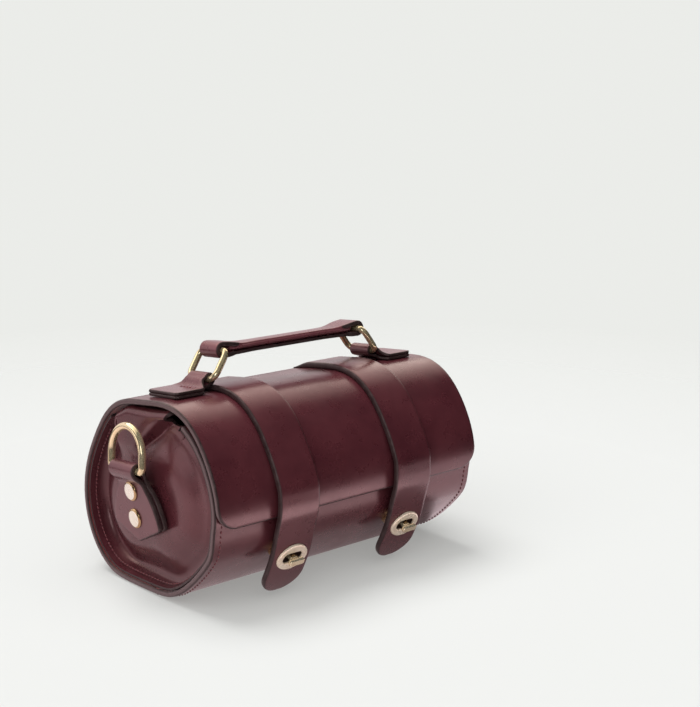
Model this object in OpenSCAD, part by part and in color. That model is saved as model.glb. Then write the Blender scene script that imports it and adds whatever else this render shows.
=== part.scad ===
// Barrel bag in thick leather: an oval body panel that runs on over the top as
// the flap, a moulded gusset in each end, a D-ring on a riveted chape at each
// end, two straps closed by turn locks, and a padded top handle on two rings.
// X is the bag's length, -Y its front, +Z up. It stands on Z = 0.

/* [Body] */
// Length of the bag over its panel edges
body_len = 180; // [160:1:200]
// Thickness of the panel leather
panel_t = 3; // [2.4:0.1:3.2]
// Depth of the channel between the gusset flange and its domed face
channel_d = 12.5; // [10:0.5:14]
// Corner radius of the flap's two front corners
flap_corner_r = 12; // [8:1:15]

/* [Straps] */
// Width of the two closing straps
strap_w = 25.5; // [22:0.5:27]
// Distance of the left strap's centre from the middle of the bag
strap_left_x = 42.5; // [38:0.5:42.5]
// Distance of the right strap's centre from the middle of the bag
strap_right_x = 37; // [34:0.5:42]
// Thickness of the strap leather
strap_t = 3.4; // [3:0.1:3.6]

/* [Locks] */
// Length of the oval eyelet plate
plate_l = 19.5; // [18:0.5:21]
// Height of the oval eyelet plate
plate_h = 15.6; // [14:0.2:16]
// Length of the eyelet slot
slot_l = 12.6; // [12.4:0.1:13]
// Height of the eyelet slot
slot_h = 6; // [5.8:0.1:6.2]
// Length of the toggle head
head_l = 9.4; // [8.6:0.1:9.6]
// Height of the toggle head
head_h = 3; // [2.8:0.1:3.1]

/* [Handle] */
// Half the distance between the two lower ring bars
ring_x = 56.9; // [56.9:0.1:57.6]
// Height of the lower ring bars
ring_z = 110.2; // [110.2:0.1:110.8]
// Lean of the rings toward the middle of the bag
ring_lean = 35; // [32:1:37]
// Distance between a ring's two bars, centre to centre
ring_h = 16.9; // [16.5:0.1:17.5]
// Width of a ring, centre to centre of its legs
ring_w = 22.4; // [22.4:0.2:24]
// Wire radius of the handle rings
ring_r = 1.75; // [1.6:0.05:1.8]
// Width of the handle where it folds round a ring
handle_end_w = 15.6; // [14.6:0.2:15.6]
// Width of the grip at the middle
grip_w = 11; // [10:0.5:12]
// Tilt of the handle and its rings, front side up
handle_roll = 5; // [4:0.5:5.5]

/* [End rings] */
// Width of a D-ring, centre to centre of its legs
d_w = 28.6; // [28:0.1:29.4]
// Height of a D-ring above its bar, centre to centre
d_h = 22.2; // [21:0.1:23]
// Wire radius of the D-rings
d_r = 1.95; // [1.7:0.05:2]
// Distance of the D-ring bar from the chape's middle
d_up = 22.3; // [22:0.1:23]

/* [Hidden] */
e = 0.01;

leather = [0.27, 0.13, 0.15];
leather_light = [0.36, 0.19, 0.22];
edge_brown = [0.16, 0.11, 0.11];
gold = [0.90, 0.80, 0.62];

// ---- The bag's outline, seen along its length --------------------------------
// A slightly sheared oval. t is the angle round it in degrees: 0 is the back,
// 90 the top, 180 the front and 270 the bottom.
base_r = 57.2;
lift = 6.1;
function rad(t) = base_r * (1 + 0.074*cos(2*t) - 0.073*sin(2*t)
                              - 0.007*cos(3*t) - 0.012*sin(3*t)
                              - 0.012*cos(4*t) - 0.010*sin(4*t)
                              - 0.009*cos(5*t) - 0.008*sin(5*t)
                              + 0.011*cos(6*t) + 0.003*sin(6*t));
function raw(t) = [rad(t)*cos(t), base_r - lift + rad(t)*sin(t)];
function unit(v) = v / norm(v);
function out_n(t) = let (d = unit(raw(t + 0.5) - raw(t - 0.5))) [d[1], -d[0]];
// A point at the distance o outside the outline; the underside lies flat.
function oval(t, o = 0) = let (p = raw(t) + o*out_n(t)) [p[0], max(p[1], -o)];
function ss(x) = let (c = min(1, max(0, x))) c*c*(3 - 2*c);

// The band of leather between the angles t0 and t1 and the distances o0 and o1.
module band(t0, t1, o0, o1, x0, x1, n = 60) {
    step = (t1 - t0)/n;
    section(x0, x1) polygon(concat([for (i = [0:n]) oval(t0 + i*step, o1)],
                                   [for (i = [n:-1:0]) oval(t0 + i*step, o0)]));
}
// The same, but following the front panel's own outer face.
module tucked_band(t0, t1, o0, o1, x0, x1, n) {
    step = (t1 - t0)/n;
    section(x0, x1) polygon(concat([for (i = [0:n]) oval(t0 + i*step, tuck(t0 + i*step) + o1)],
                                   [for (i = [n:-1:0]) oval(t0 + i*step, tuck(t0 + i*step) + o0)]));
}
// Draws a Y-Z outline and gives it the length from x0 to x1.
module section(x0, x1) {
    translate([x0, 0, 0]) rotate([90, 0, 90]) linear_extrude(height = x1 - x0) children();
}
module rod_x(p, r, x0, x1, f = 48) {
    translate([x0, p[0], p[1]]) rotate([0, 90, 0]) cylinder(r = r, h = x1 - x0, $fn = f);
}
module rod_y(x, z, r, y0, y1, f = 48) {
    translate([x, y1, z]) rotate([90, 0, 0]) cylinder(r = r, h = y1 - y0, $fn = f);
}

// ---- Angles of the main edges ------------------------------------------------
hinge_t = 50;      // the flap folds here
shell_back_t = 46;
mouth_t = 126;     // the front panel's upper edge, under the flap
flap_t = 183.5;    // the flap's front edge
hinge_p = oval(hinge_t, -panel_t/2);

// How far the panel's outer face lies inside the outline: it tucks in under the flap.
function tuck(t) = t < mouth_t + 29 ? -(panel_t + 0.4) - 4.6*ss((mouth_t + 29 - t)/30)
                 : -(panel_t + 0.4)*(1 - ss((t - flap_t - 0.5)/18));

// ---- Gussets -----------------------------------------------------------------
// Profile of the moulded leather from its edge to the middle: distance in from
// the panel's outer face, and depth below the panel's end.
gus_t = 2.8;
gus_n = 13;
flange_s = [4.7, 4.7, 4.7, 5.5, 7.5, 10.2, 13.2, 16.2, 19.2, 22.4, 26, 31, 38];
flange_d = [0.4, 3.5, 7.5, 10.3, 12.1, 12.5, 11.4, 9.3, 6.9, 4.7, 3.1, 2.2, 1.9];
ear_s = [4.8, 5.3, 6.1, 7.2, 8.8, 11, 13.6, 16.4, 19.4, 22.6, 26.2, 31, 38];
ear_d = [5.4, 4.0, 3.2, 2.8, 2.6, 2.5, 2.4, 2.3, 2.2, 2.1, 2.0, 1.9, 1.9];
gus_c = [1, 50.8];
// 1 where the flange is, 0 along the ear at the top.
function flange_k(t) = t < 90 ? 1 - ss((t - 53)/7) : ss((t - 120)/7);
function corner_k(t) = exp(-pow((t - 59)/5, 2)) + exp(-pow((t - 121)/5, 2));
function chan_k(t) = 0.8 + 0.2*cos(t + 35);
function gus_o(t) = t < 50 || t > 360 ? 0
                  : t < 62 ? -3.6*ss((t - 50)/10)
                  : t < 112 ? -3.6
                  : t < mouth_t + 2 ? -3.6 - 4.2*ss((t - 112)/15)
                  : tuck(t);
function gus_pt(t, s, d, sgn) = let (c = oval(t, gus_o(t)), u = unit(gus_c - c), q = c + s*u)
    [sgn*(body_len/2 - d), q[0], q[1]];
function gus_sd(t, k) = let (f = flange_k(t), c = corner_k(t)*max(0, 1 - k/6))
    [ear_s[k] + (flange_s[k] - ear_s[k])*f + 9*c,
     ear_d[k] + (flange_d[k]*channel_d/12.5*(k < 11 ? 1 - (1 - chan_k(t))*min(1, k/3) : 1) - ear_d[k])*f + 4*c];
function gus_nrm(t, k) = let (a = gus_sd(t, max(0, k - 1)), b = gus_sd(t, min(gus_n - 1, k + 1)), d = unit(b - a)) [d[1], -d[0]];

module gusset(sgn) {
    m = 80;
    face = [for (i = [0:m - 1]) for (k = [0:gus_n - 1]) let (t = i*360/m, p = gus_sd(t, k) + gus_t/2*gus_nrm(t, k)) gus_pt(t, p[0], p[1], sgn)];
    back = [for (i = [0:m - 1]) for (k = [0:gus_n - 1]) let (t = i*360/m, p = gus_sd(t, k) - gus_t/2*gus_nrm(t, k)) gus_pt(t, p[0], p[1], sgn)];
    b = m*gus_n;
    pts = concat(face, back, [[sgn*(body_len/2 - 1.8 + gus_t/2), gus_c[0], gus_c[1]], [sgn*(body_len/2 - 1.8 - gus_t/2), gus_c[0], gus_c[1]]]);
    function f1(a, b, c) = sgn < 0 ? [c, b, a] : [a, b, c];
    tris = [for (i = [0:m - 1]) let (j = (i + 1) % m) each concat(
        [for (k = [0:gus_n - 2]) each [f1(i*gus_n + k, i*gus_n + k + 1, j*gus_n + k), f1(i*gus_n + k + 1, j*gus_n + k + 1, j*gus_n + k)]],
        [for (k = [0:gus_n - 2]) each [f1(b + i*gus_n + k, b + j*gus_n + k, b + i*gus_n + k + 1), f1(b + i*gus_n + k + 1, b + j*gus_n + k, b + j*gus_n + k + 1)]],
        [f1(i*gus_n, j*gus_n, b + i*gus_n), f1(j*gus_n, b + j*gus_n, b + i*gus_n)],
        [f1(i*gus_n + gus_n - 1, 2*b, j*gus_n + gus_n - 1), f1(b + i*gus_n + gus_n - 1, b + j*gus_n + gus_n - 1, 2*b + 1)])];
    color(leather) difference() {
        polyhedron(points = pts, faces = tris, convexity = 8);
        at_chape(sgn) for (h = rivet_h) at_rivet(sgn, h) translate([0, 0, -16]) cylinder(r = 1.6, h = 16, $fn = 32);
    }
}
module gusset_left() { gusset(-1); }
module gusset_right() { gusset(1); }

// ---- Panel: back, bottom and front in one piece ------------------------------
module body_shell() {
    n = 90;
    t0 = mouth_t;
    t1 = 360 + shell_back_t;
    step = (t1 - t0)/n;
    back_p = oval(shell_back_t, -panel_t/2);
    front_p = oval(mouth_t, tuck(mouth_t) - panel_t/2);
    color(leather) union() {
        section(-body_len/2, body_len/2)
            polygon(concat([for (i = [0:n]) oval(t0 + i*step, tuck(t0 + i*step))],
                           [for (i = [n:-1:0]) oval(t0 + i*step, tuck(t0 + i*step) - panel_t)]));
        rod_x(back_p, panel_t/2, -body_len/2, body_len/2);
        rod_x(front_p, panel_t/2, -body_len/2, body_len/2);
    }
}

// ---- Flap ---------------------------------------------------------------------
module corner_cut(sgn) {
    r = flap_corner_r;
    z0 = oval(flap_t, 0)[1] - 0.4;
    x0 = body_len/2 - r;
    translate([0, -50, 0]) rotate([90, 0, 0]) linear_extrude(height = 30)
        difference() {
            polygon([[sgn*x0, z0 - 3], [sgn*(x0 + r + 3), z0 - 3], [sgn*(x0 + r + 3), z0 + r], [sgn*x0, z0 + r]]);
            translate([sgn*x0, z0 + r]) circle(r = r, $fn = 64);
        }
}
module flap_panel() {
    color(leather) difference() {
        union() {
            band(hinge_t, flap_t, -panel_t, 0, -body_len/2, body_len/2, 64);
            rod_x(hinge_p, panel_t/2, -body_len/2, body_len/2);
        }
        corner_cut(-1);
        corner_cut(1);
    }
}

// ---- Straps -------------------------------------------------------------------
strap_t0 = 68;
strap_t1 = 176;
arc_c = [42, 67];
arc_r = 110;
flex_a = 9.5;
flex_p = arc_c - (arc_r - strap_t/2)*[cos(flex_a), sin(flex_a)];
upper_a = flex_a - (strap_t + 0.5)/(arc_r - strap_t/2)*180/PI;
tip_a = 36;
function arc_pt(a, o) = arc_c - (arc_r + o)*[cos(a), sin(a)];
function lift_o(t) = 0.05 + 1.9*ss((t - 148)/28);
// The rear end is skived thin, so that it lies flush on the flap.
function strap_o(t) = lift_o(t) + 0.6 + (strap_t - 0.6)*ss((t - strap_t0)/16);

module strap_upper(x) {
    n = 58;
    step = (strap_t1 - strap_t0)/n;
    end_p = arc_pt(upper_a, -strap_t/2);
    a0 = 6;
    color(leather) union() {
        section(x - strap_w/2, x + strap_w/2)
            polygon(concat([for (i = [0:n]) let (t = strap_t0 + i*step) oval(t, strap_o(t))],
                           [arc_pt((a0 + upper_a)/2, 0), arc_pt(upper_a, 0), arc_pt(upper_a, -strap_t), arc_pt((a0 + upper_a)/2, -strap_t)],
                           [for (i = [n:-1:0]) let (t = strap_t0 + i*step) oval(t, lift_o(t))]));
        rod_x(end_p, strap_t/2, x - strap_w/2, x + strap_w/2);
    }
}
module strap_upper_left() { strap_upper(-strap_left_x); }
module strap_upper_right() { strap_upper(strap_right_x); }

// Lock axis: it starts at the middle of the eyelet plate's outer face.
lock_a = 22.9;
lock_p = arc_pt(lock_a, 0);
// Puts children with +Z along the lock axis, pointing away from the bag.
module at_lock(x) {
    translate([x, lock_p[0], lock_p[1]]) rotate([90 + lock_a, 0, 0]) children();
}
module slot_tool(l, h, z0, z1) {
    translate([0, 0, z0]) linear_extrude(height = z1 - z0) union() {
        square([l - h, h], center = true);
        translate([(l - h)/2, 0]) circle(d = h, $fn = 32);
        translate([-(l - h)/2, 0]) circle(d = h, $fn = 32);
    }
}
module oval_tool(l, h, z0, z1, n = 48) {
    translate([0, 0, z0]) linear_extrude(height = z1 - z0)
        polygon([for (i = [0:n - 1]) let (a = i*360/n, k = 1 + 0.02*pow(cos(2*a), 2)) [l/2*cos(a)/1.02*k, h/2*sin(a)/1.02*k]]);
}
// Ring sector of the strap's lower arc, between two distances from its face.
module arc_band(a0, a1, o0, o1, x0, x1) {
    section(x0, x1) intersection() {
        difference() {
            translate(arc_c) circle(r = arc_r + o1, $fn = 360);
            translate(arc_c) circle(r = arc_r + o0, $fn = 360);
        }
        polygon([arc_c, arc_pt(a0, 20), arc_pt((a0 + a1)/2, 24), arc_pt(a1, 20)]);
    }
}
module strap_tip(x) {
    tongue_a = tip_a - strap_w/2/arc_r*180/PI;
    tp = arc_pt(tongue_a, 0);
    color(leather) difference() {
        intersection() {
            union() {
                arc_band(flex_a, tip_a + 2, -strap_t, 0, x - strap_w/2, x + strap_w/2);
                rod_x(flex_p, strap_t/2, x - strap_w/2, x + strap_w/2);
            }
            translate([x, tp[0], tp[1]]) rotate([90 + tongue_a, 0, 0]) translate([0, 0, -20]) linear_extrude(height = 40) union() {
                circle(d = strap_w + e, $fn = 96);
                translate([-strap_w/2 - 1, 0]) square([strap_w + 2, 70]);
            }
        }
        at_lock(x) slot_tool(slot_l, slot_h, -8, 4);
    }
}
module strap_tip_left() { strap_tip(-strap_left_x); }
module strap_tip_right() { strap_tip(strap_right_x); }

module eyelet(x, o0, o1) {
    color(gold) difference() {
        intersection() {
            arc_band(lock_a - 8, lock_a + 8, o0, o1, x - plate_l, x + plate_l);
            at_lock(x) oval_tool(plate_l, plate_h, -10, 5);
        }
        at_lock(x) slot_tool(slot_l - 0.3, slot_h - 0.1, -10, 5);
    }
}
module eyelet_front_left() { eyelet(-strap_left_x, 0.02, 1.1); }
module eyelet_front_right() { eyelet(strap_right_x, 0.02, 1.1); }
module eyelet_back_left() { eyelet(-strap_left_x, -strap_t - 0.8, -strap_t - 0.02); }
module eyelet_back_right() { eyelet(strap_right_x, -strap_t - 0.8, -strap_t - 0.02); }

// ---- Turn locks ----------------------------------------------------------------
pin_r = 1.25;
neck_r = 2;
module lock_base(x) {
    color(gold) difference() {
        union() {
            intersection() {
                tucked_band(194, 222, 0.05, 1.4, x - 12, x + 12, 20);
                at_lock(x) oval_tool(17, 13, -20, 5);
            }
            // The neck grows out of the plate, which follows the panel.
            intersection() {
                at_lock(x) translate([0, 0, -14]) cylinder(r = neck_r, h = 15.6, $fn = 32);
                tucked_band(184, 236, 0.7, 30, x - 12, x + 12, 26);
            }
        }
        at_lock(x) translate([0, 0, -4]) cylinder(r = pin_r + 0.06, h = 8, $fn = 32);
    }
}
module lock_base_left() { lock_base(-strap_left_x); }
module lock_base_right() { lock_base(strap_right_x); }

module lock_washer(x) {
    color(gold) intersection() {
        tucked_band(196, 218, -panel_t - 1.15, -panel_t - 0.08, x - 12, x + 12, 20);
        at_lock(x) translate([0, 0, -25]) cylinder(r = 7, h = 30, $fn = 48);
    }
}
module lock_washers() { lock_washer(-strap_left_x); lock_washer(strap_right_x); }

module toggle(x) {
    color(gold) at_lock(x) union() {
        translate([0, 0, -3.6]) cylinder(r = pin_r, h = 6, $fn = 32);
        slot_tool(head_l, head_h, 1.8, 4.4);
    }
}
module toggle_left() { toggle(-strap_left_x); }
module toggle_right() { toggle(strap_right_x); }

// ---- Chapes, rivets and D-rings at the two ends ---------------------------------
// The chape's own frame starts in the middle of its front face: X out of the
// face, Y across it, Z up along it. It stands off a little toward the top and
// leans to the back.
module at_chape(sgn) {
    translate([sgn*96.8, 1, 45.8]) rotate([-4.5, sgn*5.5, 0]) children();
}
// Puts children with +Z out of the chape's face, at the height h on it.
module at_rivet(sgn, h) { translate([0, 0, h]) rotate([0, 90*sgn, 0]) children(); }
ch_t = 5.8;
d_n = 0.65;                    // the D-ring's bar, in front of the face
rivet_h = [-4.2, 10.5];
inner_n = [-10.5, -11.9];      // outer faces of the inner heads, inside the gusset
loop_r = d_r + 0.08 + 2.3;
module chape(sgn) {
    half = [[11, 40], [11, 20], [10.9, 17], [12, 13], [15, 9], [18, 3], [20, -3], [20.7, -8.2]];
    color(leather_light) at_chape(sgn) difference() {
        intersection() {
            // Side view: two leaves that part to go round the bar.
            translate([0, 40, 0]) rotate([90, 0, 0]) linear_extrude(height = 80) union() {
                polygon([for (p = [[-ch_t, -20], [0, -20], [0, 14.6], [0.8, 16.2], [2.4, 17.7], [4, 19.4],
                                   [4.55, 21], [d_n, d_up], [d_n - loop_r + 0.25, d_up - 1],
                                   [-3.95, 19.2], [-5.2, 13.5], [-ch_t, 9]]) [sgn*p[0], p[1]]]);
                translate([sgn*d_n, d_up]) circle(r = loop_r, $fn = 48);
            }
            // End view: neck, shoulders and pointed foot.
            section(-20, 20)
                polygon(concat([for (p = half) [p[0], p[1]]], [[0, -16.6]],
                               [for (i = [len(half) - 1:-1:0]) [-half[i][0], half[i][1]]]));
        }
        rod_y(sgn*d_n, d_up, d_r + 0.08, -30, 30);
        for (h = rivet_h) at_rivet(sgn, h) {
            translate([0, 0, -20]) cylinder(r = 1.6, h = 30, $fn = 32);
            // The cap's seat.
            translate([0, 0, 0.02]) cylinder(r = 5.4, h = 6, $fn = 48);
        }
    }
}
module chape_left() { chape(-1); }
module chape_right() { chape(1); }

module rivet(sgn, i) {
    at_chape(sgn) at_rivet(sgn, rivet_h[i]) {
        translate([0, 0, inner_n[i] - 0.4]) cylinder(r = 1.5, h = 0.6 - inner_n[i], $fn = 32);
        translate([0, 0, 0.06]) cylinder(r = 5.3, h = 0.55, $fn = 48);
        translate([0, 0, 0.6]) cylinder(r1 = 5.3, r2 = 4.4, h = 0.7, $fn = 48);
        translate([0, 0, inner_n[i] - 0.8]) cylinder(r = 4, h = 0.8, $fn = 48);
    }
}
module chape_rivets() { color(gold) { for (s = [-1, 1]) for (i = [0, 1]) rivet(s, i); } }

module torus_part(rr, r, a) { rotate_extrude(angle = a, $fn = 96) translate([rr, 0]) circle(r = r, $fn = 32); }
// The D-ring lies in the plane through its bar, leaning to the gusset.
module d_ring(sgn) {
    w = d_w/2;
    cr = 2.6;
    lean = 11;
    color(gold) at_chape(sgn) translate([sgn*d_n, 0, d_up]) rotate([0, -lean*sgn, 0]) union() {
        translate([0, w - cr, 0]) rotate([90, 0, 0]) cylinder(r = d_r, h = d_w - 2*cr, $fn = 32);
        for (s = [-1, 1]) {
            translate([0, s*w, cr]) cylinder(r = d_r, h = d_h - w - cr + e, $fn = 32);
            translate([0, s*(w - cr), cr]) rotate([0, 90, 0]) rotate([0, 0, s > 0 ? 0 : -90]) torus_part(cr, d_r, 90);
        }
        translate([0, 0, d_h - w]) rotate([0, 90, 0]) rotate([0, 0, 90]) torus_part(w, d_r, 180);
    }
}
module d_ring_left() { d_ring(-1); }
module d_ring_right() { d_ring(1); }

// ---- Handle -----------------------------------------------------------------------
h_y = -4.2;
tab_w = 26;
tab_z = 103.7;      // underside of the tabs' stiff plates
tab_t = 3.5;
// The flap slopes under the handle; this tilts everything on it alike, about
// the line where the ring bars are.
module rolled() {
    translate([0, h_y, ring_z]) rotate([-handle_roll, 0, 0]) translate([0, -h_y, -ring_z]) children();
}
tab_loop_r = ring_r + 0.08 + 1.6;
top_x = ring_x - ring_h*sin(ring_lean);
top_z = ring_z + ring_h*cos(ring_lean);
grip_loop_r = 4.5;

module handle_tab(sgn) {
    lw = handle_end_w;
    color(leather_light) difference() {
        rolled() difference() {
            union() {
                // Plate: both layers, flat and stiff.
                translate([0, 0, tab_z]) linear_extrude(height = tab_t)
                    polygon([for (p = [[82, -tab_w/2 + 1.5], [82, tab_w/2 - 1.5], [80.5, tab_w/2], [65, tab_w/2], [60.5, lw/2 - e],
                                       [60.5, -lw/2 + e], [65, -tab_w/2], [80.5, -tab_w/2]]) [sgn*p[0], h_y + p[1]]]);
                // Fold that rises to the loop.
                translate([0, h_y + lw/2, 0]) rotate([90, 0, 0]) linear_extrude(height = lw)
                    union() {
                        polygon([for (p = [[66.5, tab_z], [66.5, tab_z + tab_t], [ring_x + 2.6, ring_z + 2.1], [ring_x, ring_z], [ring_x - 1.4, ring_z - 3], [ring_x - 1.2, tab_z]]) [sgn*p[0], p[1]]]);
                        translate([sgn*ring_x, ring_z]) circle(r = tab_loop_r, $fn = 48);
                    }
            }
            rod_y(sgn*ring_x, ring_z, ring_r + 0.08, -40, 40);
        }
        band(60, 130, -20, 0.05, sgn < 0 ? -90 : 30, sgn < 0 ? -30 : 90, 40);
    }
}
module handle_tab_left() { handle_tab(-1); }
module handle_tab_right() { handle_tab(1); }

module handle_ring(sgn) {
    w = ring_w/2;
    h = ring_h;
    cr = 4;
    color(gold) rolled() translate([sgn*ring_x, h_y, ring_z]) rotate([0, -ring_lean*sgn, 0]) union() {
        for (z = [0, h]) translate([0, w - cr, z]) rotate([90, 0, 0]) cylinder(r = ring_r, h = ring_w - 2*cr, $fn = 32);
        for (s = [-1, 1]) {
            translate([0, s*w, cr]) cylinder(r = ring_r, h = h - 2*cr, $fn = 32);
            translate([0, s*(w - cr), cr]) rotate([0, 90, 0]) rotate([0, 0, s > 0 ? 0 : -90]) torus_part(cr, ring_r, 90);
            translate([0, s*(w - cr), h - cr]) rotate([0, 90, 0]) rotate([0, 0, s > 0 ? 90 : 180]) torus_part(cr, ring_r, 90);
        }
    }
}
module handle_ring_left() { handle_ring(-1); }
module handle_ring_right() { handle_ring(1); }

// Half the grip's width at x: wide at the folds, narrow in the hand.
function grip_half(x) = grip_w/2 + (handle_end_w - grip_w)/2*ss((abs(x) - 22)/18);
function grip_top(x) = 126.2 + (top_z + grip_loop_r - 0.1 - 126.2)*ss((abs(x) - 30)/17);
function grip_low(x) = 122.2 + (top_z - grip_loop_r + 1.8 - 122.2)*ss((abs(x) - 24)/20);
module grip_plan() {
    xs = [for (i = [-12:12]) i*(top_x + 1)/12];
    translate([0, 0, 100]) linear_extrude(height = 50)
        polygon(concat([for (x = xs) [x, h_y - grip_half(x)]], [for (i = [len(xs) - 1:-1:0]) [xs[i], h_y + grip_half(xs[i])]]));
}
module handle_strap() {
    xs = [for (i = [-12:12]) i*top_x/12];
    color(leather) rolled() difference() {
        union() {
            intersection() {
                grip_plan();
                translate([0, 40, 0]) rotate([90, 0, 0]) linear_extrude(height = 80)
                    polygon(concat([for (x = xs) [x, grip_top(x)]], [for (i = [len(xs) - 1:-1:0]) [xs[i], grip_low(xs[i])]]));
            }
            for (s = [-1, 1]) rod_y(s*top_x, top_z, grip_loop_r, h_y - handle_end_w/2, h_y + handle_end_w/2);
        }
        rod_y(-top_x, top_z, ring_r + 0.08, -40, 40);
        // The second fold is looser on its bar, so that both rings can swing.
        rod_y(top_x, top_z, ring_r + 0.6, -40, 40);
    }
}
module handle_liner() {
    lx = top_x - grip_loop_r - 1.4;
    xs = [for (i = [-10:10]) i*lx/10];
    color(edge_brown) rolled() intersection() {
        grip_plan();
        translate([0, 40, 0]) rotate([90, 0, 0]) linear_extrude(height = 80)
            polygon(concat([for (x = xs) [x, grip_low(x) - 0.04]], [for (i = [len(xs) - 1:-1:0]) [xs[i], grip_low(xs[i]) - 1.7]]));
    }
}

body_shell();
gusset_left();
gusset_right();
chape_left();
chape_right();
chape_rivets();
d_ring_left();
d_ring_right();
flap_panel();
strap_upper_left();
strap_upper_right();
strap_tip_left();
strap_tip_right();
eyelet_front_left();
eyelet_front_right();
eyelet_back_left();
eyelet_back_right();
lock_base_left();
lock_base_right();
lock_washers();
toggle_left();
toggle_right();
handle_tab_left();
handle_tab_right();
handle_ring_left();
handle_ring_right();
handle_strap();
handle_liner();
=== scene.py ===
import math

import bmesh
import bpy
import numpy as np
from mathutils import Matrix, Vector


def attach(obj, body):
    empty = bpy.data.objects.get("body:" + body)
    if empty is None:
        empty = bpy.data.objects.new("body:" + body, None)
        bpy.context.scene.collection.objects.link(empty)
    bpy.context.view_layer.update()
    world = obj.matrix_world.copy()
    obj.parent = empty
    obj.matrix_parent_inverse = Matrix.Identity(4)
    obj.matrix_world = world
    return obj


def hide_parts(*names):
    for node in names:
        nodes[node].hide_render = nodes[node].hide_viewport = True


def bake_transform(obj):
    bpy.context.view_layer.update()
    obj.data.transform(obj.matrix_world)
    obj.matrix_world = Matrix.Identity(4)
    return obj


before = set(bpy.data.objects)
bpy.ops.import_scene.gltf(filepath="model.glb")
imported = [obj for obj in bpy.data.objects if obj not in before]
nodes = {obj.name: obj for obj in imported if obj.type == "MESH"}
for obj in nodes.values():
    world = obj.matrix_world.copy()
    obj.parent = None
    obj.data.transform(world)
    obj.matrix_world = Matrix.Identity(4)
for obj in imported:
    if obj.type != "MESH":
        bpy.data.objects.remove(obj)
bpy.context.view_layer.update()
scene = bpy.context.scene
scene.view_settings.view_transform = "Standard"
scene.view_settings.look = "None"
MM = 0.001

# ---- Camera -------------------------------------------------------------------
CAM = dict(f=1387.0, ppx=348.1, ppy=343.9, az=41.78, el=11.12, u0=282.2, v0=457.6, d=771.0)


def make_camera(c):
    a, e = math.radians(c["az"]), math.radians(c["el"])
    back = Vector((-math.sin(a) * math.cos(e), -math.cos(a) * math.cos(e), math.sin(e)))
    right = Vector((math.cos(a), -math.sin(a), 0))
    up = back.cross(right)
    target = Vector((0, 0, 55.8))
    place = (
        target
        + back * c["d"]
        - right * (c["u0"] - c["ppx"]) / c["f"] * c["d"]
        + up * (c["v0"] - c["ppy"]) / c["f"] * c["d"]
    )
    data = bpy.data.cameras.new("camera")
    cam = bpy.data.objects.new("camera", data)
    scene.collection.objects.link(cam)
    data.sensor_width = 36
    data.lens = c["f"] / 707 * 36
    data.shift_x = (350 - c["ppx"]) / 707
    data.shift_y = (c["ppy"] - 353.5) / 707
    data.clip_start, data.clip_end = 0.01, 60
    m = Matrix((right, up, back)).transposed().to_4x4()
    m.translation = place * MM
    cam.matrix_world = m
    scene.camera = cam


make_camera(CAM)


# ---- Numbers shared with the construction ---------------------------------------
BASE_R, LIFT = 57.2, 6.1
LEN, PANEL_T = 180.0, 3.0
HINGE_T, BACK_T, MOUTH_T, FLAP_T = 50.0, 46.0, 126.0, 183.5
STRAP_W, STRAP_T = 25.5, 3.4
STRAPS = {"left": -42.5, "right": 37.0}
ARC_C, ARC_R, LOCK_A = np.array([42.0, 67.0]), 110.0, 22.9
D_R, D_N, D_UP = 1.95, 0.65, 22.3
RING_X, RING_Z, RING_LEAN, RING_H, RING_W, RING_R = 56.9, 110.2, 35.0, 16.9, 22.4, 1.75
TOP_X = RING_X - RING_H * math.sin(math.radians(RING_LEAN))
TOP_Z = RING_Z + RING_H * math.cos(math.radians(RING_LEAN))
H_Y, ROLL, TAB_Z, TAB_T, LOOP_W = -4.2, 5.0, 103.7, 3.5, 15.6


def A(x):
    return np.asarray(x, float)


def rad(t):
    c = lambda k: np.cos(np.radians(k * t))
    s = lambda k: np.sin(np.radians(k * t))
    return BASE_R * (
        1 + 0.074 * c(2) - 0.073 * s(2) - 0.007 * c(3) - 0.012 * s(3)
        - 0.012 * c(4) - 0.010 * s(4) - 0.009 * c(5) - 0.008 * s(5)
        + 0.011 * c(6) + 0.003 * s(6)
    )


def raw(t):
    t = A(t)
    return np.stack([rad(t) * np.cos(np.radians(t)), BASE_R - LIFT + rad(t) * np.sin(np.radians(t))], -1)


def out_n(t):
    d = raw(A(t) + 0.5) - raw(A(t) - 0.5)
    d /= np.linalg.norm(d, axis=-1, keepdims=True)
    return np.stack([d[..., 1], -d[..., 0]], -1)


def oval(t, o=0.0):
    t, o = np.broadcast_arrays(A(t), A(o))
    p = raw(t) + o[..., None] * out_n(t)
    # The underside is flat where it rests, with soft bends at both sides.
    h = np.clip(0.5 + (p[..., 1] + o) / 5.0, 0, 1)
    p[..., 1] = p[..., 1] * h - o * (1 - h) + 2.5 * h * (1 - h)
    return p


def ss(x):
    c = np.clip(x, 0, 1)
    return c * c * (3 - 2 * c)


def tuck(t):
    t = A(t)
    return np.where(t < MOUTH_T + 29, -(PANEL_T + 0.4) - 1.3 * ss((MOUTH_T + 29 - t) / 30),
                    -(PANEL_T + 0.4) * (1 - ss((t - FLAP_T - 0.5) / 18)))


def arc_pt(a, o=0.0):
    a = np.radians(a)
    return ARC_C - (ARC_R + o) * A([np.cos(a), np.sin(a)])


LOCK_P = arc_pt(LOCK_A)


def at_chape(sg, n, w, h):
    """Points in the chape's frame: n out of its face, w across it, h up along it."""
    n, w, h = np.broadcast_arrays(A(n), A(w), A(h))
    a, b = math.radians(-4.5), math.radians(sg * 5.5)
    x, y, z = sg * n, w * math.cos(a) - h * math.sin(a), w * math.sin(a) + h * math.cos(a)
    return np.stack([sg * 96.8 + x * math.cos(b) + z * math.sin(b), 1.0 + y, 45.8 - x * math.sin(b) + z * math.cos(b)], -1)


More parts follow.
